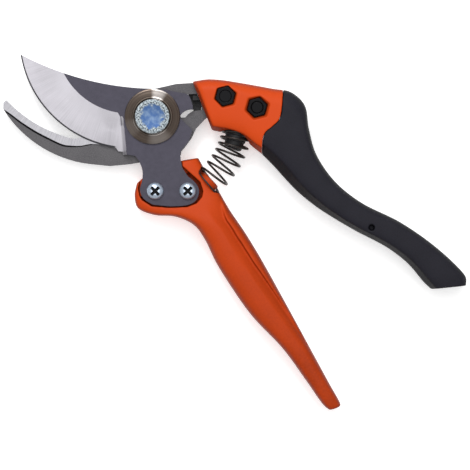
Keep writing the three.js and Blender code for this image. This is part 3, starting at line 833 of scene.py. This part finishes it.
def shape_tree(name, inputs, build):
    """A geometry node tree that ends in one real mesh with the finish it is given."""

    def whole(nodes, given):
        real = nodes.out("GeometryNodeRealizeInstances", {"Geometry": build(nodes, given)})
        return {"Geometry": nodes.out("GeometryNodeSetMaterial", {"Geometry": real, "Material": given["Finish"]})}

    return node_group(name, "GeometryNodeTree", {**inputs, "Finish": "NodeSocketMaterial"}, whole)


def tick_ring_nodes():
    """Small raised marks set evenly round a circle."""

    def build(nodes, given):
        circle = nodes.out("GeometryNodeMeshCircle", {"Vertices": given["Count"], "Radius": given["Ring radius"]})
        lifted = nodes.vector(z=given["Height"])
        moved = nodes.out("GeometryNodeTransform", {"Geometry": circle, "Translation": lifted})
        mark = nodes.out("GeometryNodeMeshIcoSphere", {"Radius": given["Mark size"], "Subdivisions": 2})
        return nodes.out("GeometryNodeInstanceOnPoints", {"Points": moved, "Instance": mark})

    return shape_tree("Tick ring", {
        "Count": "NodeSocketInt", "Ring radius": FLOAT, "Mark size": FLOAT, "Height": FLOAT}, build)


def from_nodes(name, tree, **values):
    """A plain mesh object made by a geometry node tree with these inputs."""
    obj = in_scene(name, bpy.data.meshes.new(name))
    step = obj.modifiers.new("build", "NODES")
    step.node_group = tree
    given = spaced(values)
    for item in tree.interface.items_tree:
        if item.in_out == "INPUT":
            step[item.identifier] = given[item.name]
    apply_modifiers(obj)
    return obj


class PRUNER_OT_pivot(bpy.types.Operator):
    """Pivot bolt with its collar, washer and nut"""

    bl_idname = "pruner.pivot"
    bl_label = "Pivot"

    def execute(self, context):
        outer, head = sizes().collar_radius / MM, sizes().head_radius / MM
        bore, low = head + HEAD_ROOM, COLLAR_SEAT
        profile = ((COLLAR_BORE, 0), (outer - 0.25, 0), (outer, 0.2), (outer, 0.75), (outer - 0.2, 1.0),
                   (outer - 0.55, 1.12), (outer - 0.6, 1.3), (outer - 1.7, 2.0), (bore + 0.95, 2.62),
                   (bore + 0.8, 2.8), (bore + 0.3, 2.88), (bore, 2.6), (bore, 0.8), (COLLAR_BORE, 0.8))
        collar = turned("collar_dressed", (0, 0), [(radius, low + rise) for radius, rise in profile], 128)
        cut(collar, prism("bore", arc((0, 0), COLLAR_BORE, 0, 357.2, 127), low - 1, low + 5))
        settle(collar, HOOK, ["pivot_collar"], [material("Turned bronze", turned_bronze)], 30)
        top = -BLADE_REAR
        bolt = turned("pivot_bolt_dressed", (0, 0), [
            (0, -9.8), (4.3, -9.8), (4.9, -9.2), (4.9, 4.2), (head - 0.2, 4.2), (head, 4.4), (head, top - 0.35),
            (head - 0.12, top - 0.12), (head - 0.4, top - 0.04), (head - 2.4, top - 0.05), (head - 2.6, top - 0.12),
            (0, top - 0.10),
        ], 128)
        settle(bolt, HOOK, ["pivot_bolt"], [material("Pivot head zinc", pivot_head_zinc)], 40)
        ticks = from_nodes("pivot_head_marks", tick_ring_nodes(), Count=30, Ring_radius=head - 1.35, Mark_size=0.27,
                           Height=top - 0.2, Finish=black_oxide())
        settle(ticks, HOOK, [], [black_oxide()])
        dress_copy("pivot_washer", HOOK, black_oxide(), 0.15, name="washer_dressed")
        dress_copy("pivot_nut", HOOK, zinc_plate(), 0.4, 3)
        return {"FINISHED"}


class PRUNER_OT_upper_handle(bpy.types.Operator):
    """Orange casing and rubber grip of the upper handle"""

    bl_idname = "pruner.upper_handle"
    bl_label = "Upper handle"

    @staticmethod
    def section(wall):
        """Round over the back of the hand, with a crisp edge and a leaning wall on the fingers' side."""

        def shape(turn, along):
            across = blunt(math.cos(turn), 0.5)
            height = blunt(math.sin(turn), 0.42)
            if across < wall - 1:
                lean = 0.99 - 0.62 * (wall - 1 - across) / wall
                height = math.copysign(min(abs(height), lean), height)
            ridge = 0.022 * math.exp(-((across - 0.62) / 0.16) ** 2)
            return across, height * (1 - 0.055 * across * across + ridge)

        return shape

    def execute(self, context):
        first, second = (np.array(row, float) for row in UPPER_STATIONS[:2])
        lead = first * 0.72 + second * 0.28
        first[4] = 4.9
        casing = handle_body("casing_dressed", [first, lead, *UPPER_STATIONS[1:9]], 10, self.section(0.20))
        grid = sizes().moulded_round / MM
        moulded(casing, grid, 0)
        cut(casing, prism("grip_area", grip_area(0), -FAR, FAR))
        tang = [(14, 18), (17.6, 15), (25.4, 13), (28.4, 12.2), (28.4, 1.8), (25.4, 0.6), (20, -4), (12, -12)]
        bar = prism("bar_room", [(-10.3, -4.8), (15.3, -4.8), (15.3, 4.8), (-10.3, 4.8)], HOOK_BACK - 0.3, 0)
        bar.data.transform(Matrix.Translation((34.6, 7, 0)) @ Matrix.Rotation(math.radians(TANG_TURN), 4, "Z"))
        slide = [(10.4, 4.0), (25.5, 4.0), (25.5, 9.6), (10.4, 9.6)]
        cut(casing, prism("tang_room", tang, HOOK_BACK - 0.3, 0), bar, prism("slide", slide, -FAR, HOOK_BACK - 0.2),
            spring_room("upper_socket", SPRING_MIDDLE, UPPER_FLOOR))
        radius = sizes().hex_radius / MM
        for centre in CLAMPS:
            pocket, mouth = (polygon(centre, size, 6, HEX_TURN) for size in (radius, radius + 1.2))
            cut(casing, prism("pocket", pocket, NUT_SEAT, FAR), prism("flare", pocket, FLARE_LOW, FLARE_HIGH, mouth),
                prism("counterbore", polygon(centre, BOLT_HEAD_ROOM, 48), -FAR, BOLT_SEAT),
                prism("shank", polygon(centre, BOLT_ROOM, 24), -FAR, FAR))
        moulded(casing, grid * 0.85, 2)
        settle(casing, HOOK, ["upper_casing"], [orange_plastic()], 180)
        grip = handle_body("grip_dressed", UPPER_STATIONS[4:], 10, self.section(0.30))
        moulded(grip, grid, 0)
        combine(grip, prism("grip_area", grip_area(GRIP_JOINT), -FAR, FAR), "INTERSECT")
        cut(grip, prism("hole", polygon((91.7, -46.5), 1.3, 24), 5.5, FAR))
        moulded(grip, grid, 3)
        settle(grip, HOOK, ["upper_grip"], [material("Grip rubber", grip_rubber)], 180)
        return {"FINISHED"}


class PRUNER_OT_lower_handle(bpy.types.Operator):
    """Orange lower handle with the pocket for the blade's lobe"""

    bl_idname = "pruner.lower_handle"
    bl_label = "Lower handle"

    @staticmethod
    def section(turn, along):
        """A crowned front that sinks to a crease beside a raised strip, which fades out half way down."""
        round_off = unit((along - 4.5) / 2.5)
        across = blunt(math.cos(turn), 0.45 + 0.13 * round_off)
        height = blunt(math.sin(turn), 0.36 + 0.18 * round_off)
        places, creases, depths = zip(*CREASE)
        crease, depth = np.interp(along - 2, places, creases), np.interp(along - 2, places, depths)
        slope = unit(1 - (crease - across) / 0.5) if across < crease else unit(1 - (across - crease) / 0.04)
        hollow = 0.27 * depth * slope if abs(height) > 0.6 else 0.0
        height *= 1 - 0.06 * across * across
        return across, math.copysign(abs(height) - hollow, height)

    def execute(self, context):
        grid = sizes().moulded_round / MM
        handle = handle_body("lower_handle_dressed", crisp(LOWER_STATIONS, 1), 12, self.section)
        moulded(handle, grid, 0)
        trench = [*LOBE_POCKET[3:13], (13.6, -24.6), (17.2, -28.2), (17.6, -31.2), (16.8, -34.0), (13.6, -36.2),
                  (7.1, -36.6), (0.4, -36.0), (-2.9, -33.6)]
        cut(handle, prism("lobe_pocket", LOBE_POCKET, -0.3, FAR), prism("trench", trench, TRENCH_FLOOR, FAR),
            spring_room("lower_socket", LOWER_FLOOR, SPRING_MIDDLE))
        for centre in SCREWS:
            cut(handle, prism("hole", polygon(centre, SCREW_ROOM, 24), -FAR, FAR),
                prism("insert_room", polygon(centre, INSERT_ROOM, 6, 30), -FAR, TRENCH_FLOOR))
        moulded(handle, grid, 3)
        settle(handle, BLADE, ["lower_handle"], [shaded_handle_orange()], 180)
        return {"FINISHED"}


class PRUNER_OT_fasteners(bpy.types.Operator):
    """Clamp bolts and nuts, blade screws and their inserts"""

    bl_idname = "pruner.fasteners"
    bl_label = "Fasteners"

    def execute(self, context):
        for side in ("inner", "outer"):
            for part, width in (("clamp_bolt", 0.3), ("clamp_nut", 0.35)):
                dress_copy(f"{part}_{side}", HOOK, black_oxide(), width, 3)
        head = sizes().screw_radius / MM
        for side, centre in zip(("left", "right"), SCREWS):
            screw = turned(f"blade_screw_{side}_dressed", centre, [
                (0, -6.4), (1.95, -6.4), (1.95, 3.3), (head - 0.15, 3.3), (head, 3.45), (head, 3.95),
                (head - 0.12, 4.35), (head - 0.4, 4.75), (head - 0.95, 5.15), (head - 1.8, 5.42), (0.6, 5.5),
                (0, 5.5),
            ], 64)
            for turn in (45, 135):
                slot = prism("slot", [(-2.1, -0.42), (2.1, -0.42), (2.1, 0.42), (-2.1, 0.42)], 4.35, FAR,
                             [(-2.5, -0.8), (2.5, -0.8), (2.5, 0.8), (-2.5, 0.8)])
                for vertex in slot.data.vertices:
                    if vertex.co.z > 5:
                        vertex.co.z = 5.9
                slot.data.transform(Matrix.Translation((*centre, 0)) @ Matrix.Rotation(math.radians(turn), 4, "Z"))
                cut(screw, slot)
            middle = Vector(centre)
            finishes = [polished_screw(), black_oxide()]
            put_finishes(screw, finishes)
            # The cross slots' walls and floors take the black oxide finish: painted shade in the recesses.
            paint_faces(screw, lambda spot, normal: int(4.2 < spot.z < 5.2 and (spot.xy - middle).length < 2.4))
            settle(screw, BLADE, [f"blade_screw_{side}"], finishes, 30)
            dress_copy(f"blade_insert_{side}", BLADE, zinc_plate(), 0.25)
        return {"FINISHED"}


def coil_nodes():
    """A wire wound into a coil that is bent round the pivot."""

    def build(nodes, given):
        wound = nodes.out("GeometryNodeCurveSpiral", {
            "Resolution": 40, "Rotations": given["Turns"], "Start Radius": given["Coil radius"],
            "End Radius": given["Coil radius"], "Height": 1.0})
        along = nodes.add("GeometryNodeSplineParameter").outputs["Factor"]
        marked = nodes.out("GeometryNodeStoreNamedAttribute", {"Geometry": wound, "Name": "along", "Value": along},
                           data_type="FLOAT", domain="POINT")
        spot = nodes.parts(nodes.out("GeometryNodeInputPosition"))
        reach = nodes.maths("ADD", given["Arc radius"], spot[0])
        slack = nodes.maths("SUBTRACT", 1 + PITCH_EASE, nodes.times(spot[2], PITCH_EASE))
        angle = nodes.ramp(nodes.times(spot[2], slack), 0.0, 1.0, given["Start"], given["End"])
        bent = nodes.vector(nodes.times(reach, nodes.maths("COSINE", angle)),
                            nodes.times(reach, nodes.maths("SINE", angle)), spot[1])
        placed = nodes.out("GeometryNodeSetPosition", {"Geometry": marked, "Position": bent})
        ring = nodes.out("GeometryNodeCurvePrimitiveCircle", {"Resolution": 12, "Radius": given["Wire radius"]})
        return nodes.out("GeometryNodeCurveToMesh", {
            "Curve": placed, "Profile Curve": ring, "Fill Caps": True})

    labels = ("Turns", "Coil radius", "Wire radius", "Arc radius", "Start", "End")
    return shape_tree("Bent coil", dict.fromkeys(labels, FLOAT), build)


class PRUNER_OT_spring(bpy.types.Operator):
    """Return spring and the bosses that hold its ends"""

    bl_idname = "pruner.spring"
    bl_label = "Return spring"

    def execute(self, context):
        spring = from_nodes("return_spring_dressed", coil_nodes(), Turns=float(sizes().coil_turns),
                            Coil_radius=sizes().coil_radius / MM, Wire_radius=sizes().wire_radius / MM,
                            Arc_radius=SPRING_ARC, Start=math.radians(SPRING_START), End=math.radians(SPRING_END),
                            Finish=spring_steel())
        settle(spring, None, ["return_spring"], [spring_steel()], 180)
        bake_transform(spring)
        share = np.empty(len(spring.data.vertices), np.float32)
        spring.data.attributes["along"].data.foreach_get("value", share)
        upper = bent_solid("spring_boss_upper_dressed", [
            (UPPER_FLOOR - 0.1, 4.9), (-12.0, 4.9), (-12.6, 4.5), (-16.0, 4.45), (-16.4, 4.1), (-20.8, 3.9),
            (-21.6, 3.4), (-22.0, 2.6)])
        settle(upper, HOOK, ["spring_boss_upper"], [black_plastic()])
        seat = bent_solid("spring_seat_lower", [(LOWER_FLOOR - 0.6, SEAT_RADIUS), (LOWER_FLOOR + 0.25, SEAT_RADIUS)])
        settle(seat, BLADE, ["spring_boss_lower"], [black_plastic()])
        lower = bent_solid("spring_boss_lower_dressed", [
            (LOWER_FLOOR - 0.2, 4.4), (-47.6, 4.4), (-47.0, 4.15), (-46.7, 3.6), (-46.6, 2.8)])
        settle(lower, BLADE, ["spring_boss_lower"], [shaded_handle_orange()])
        return {"FINISHED"}


class PRUNER_OT_catch(bpy.types.Operator):
    """Sliding safety catch with its ribbed thumb pad"""

    bl_idname = "pruner.catch"
    bl_label = "Safety catch"

    def execute(self, context):
        catch = copy_of("safety_catch", "safety_catch_dressed")
        combine(catch, prism("front_flange", FLANGE, FLANGE_BACK, FLANGE_FRONT), "UNION")
        rounded(catch, 0.2)
        settle(catch, CATCH, ["safety_catch"], [black_plastic()])
        return {"FINISHED"}


# Metres for the floor, millimetres for the view.
FLOOR_REACH, FLOOR_GLOW, SKY_STRENGTH = 3.0, 0.42, 0.52
VIEW_MIDDLE, VIEW_WIDTH, FOCAL_LENGTH = (34.65, -49.6), 197.4, 250


class PRUNER_OT_stage(bpy.types.Operator):
    """Pale floor, soft lights and the camera"""

    bl_idname = "pruner.stage"
    bl_label = "Stage"

    def execute(self, context):
        scene = context.scene
        low = cad_box[0][2]
        mesh = bpy.data.meshes.new("floor")
        side = FLOOR_REACH
        mesh.from_pydata([(-side, -side, low), (side, -side, low), (side, side, low), (-side, side, low)], [],
                         [(0, 1, 2, 3)])
        floor = in_scene("floor", mesh)

        def pale(nodes):
            cloud = nodes.noise(nodes.object_point(), 3.0)
            nodes.surface(nodes.mix(cloud, (0.95, 0.95, 0.95), (0.97, 0.97, 0.97)), 0.9, 0.0,
                          Emission_Color=(1, 1, 1, 1), Emission_Strength=FLOOR_GLOW)

        mesh.materials.append(material("Pale floor", pale))
        world = bpy.data.worlds.new("Studio")
        world.use_nodes = True
        sky = world.node_tree.nodes["Background"].inputs
        sky[0].default_value = (1, 1, 1, 1)
        sky[1].default_value = SKY_STRENGTH
        scene.world = world
        middle = Vector((35, -50, BLADE_REAR)) * MM
        for name, spot, width, power in (
            ("overhead", (0.0, 0.25, 1.3), 1.0, 7.4),
            ("key", (-0.15, 0.62, 0.74), 0.25, 3.6),
        ):
            light = bpy.data.lights.new(name, "AREA")
            light.size = width
            light.energy = power
            lamp = in_scene(name, light)
            lamp.location = middle + Vector(spot)
            lamp.rotation_euler = (middle - lamp.location).to_track_quat("-Z", "Y").to_euler()
        lens = bpy.data.cameras.new("camera")
        lens.lens = FOCAL_LENGTH
        lens.sensor_width = 36
        camera = in_scene("camera", lens)
        distance = VIEW_WIDTH * MM * lens.lens / lens.sensor_width
        camera.location = Vector((*VIEW_MIDDLE, BLADE_REAR)) * MM + Vector((0, 0, distance))
        scene.camera = camera
        scene.view_settings.view_transform = "Standard"
        return {"FINISHED"}


class PRUNER_PT_panel(bpy.types.Panel):
    """The pruner's pieces"""

    bl_idname = "PRUNER_PT_panel"
    bl_label = "Bypass pruner"
    bl_space_type = "VIEW_3D"
    bl_region_type = "UI"
    bl_category = "Pruner"

    def draw(self, context):
        for group in (context.scene.pruner_sizes, context.scene.pruner_colours):
            box = self.layout.box()
            for name in group.__annotations__:
                box.prop(group, name)
        for step in STEPS:
            self.layout.operator(step.bl_idname)


STEPS = (
    PRUNER_OT_cutting_blade,
    PRUNER_OT_hook,
    PRUNER_OT_pivot,
    PRUNER_OT_upper_handle,
    PRUNER_OT_lower_handle,
    PRUNER_OT_fasteners,
    PRUNER_OT_spring,
    PRUNER_OT_catch,
    PRUNER_OT_stage,
)
CLASSES = (PrunerSizes, PrunerColours, *STEPS, PRUNER_PT_panel)


def register():
    for each in CLASSES:
        bpy.utils.register_class(each)
    bpy.types.Scene.pruner_sizes = PointerProperty(type=PrunerSizes)
    bpy.types.Scene.pruner_colours = PointerProperty(type=PrunerColours)


def unregister():
    del bpy.types.Scene.pruner_colours
    del bpy.types.Scene.pruner_sizes
    for each in reversed(CLASSES):
        bpy.utils.unregister_class(each)


def main():
    register()
    for step in STEPS:
        group, name = step.bl_idname.split(".")
        getattr(getattr(bpy.ops, group), name)()
    bpy.context.view_layer.update()


if __name__ == "__main__":
    main()
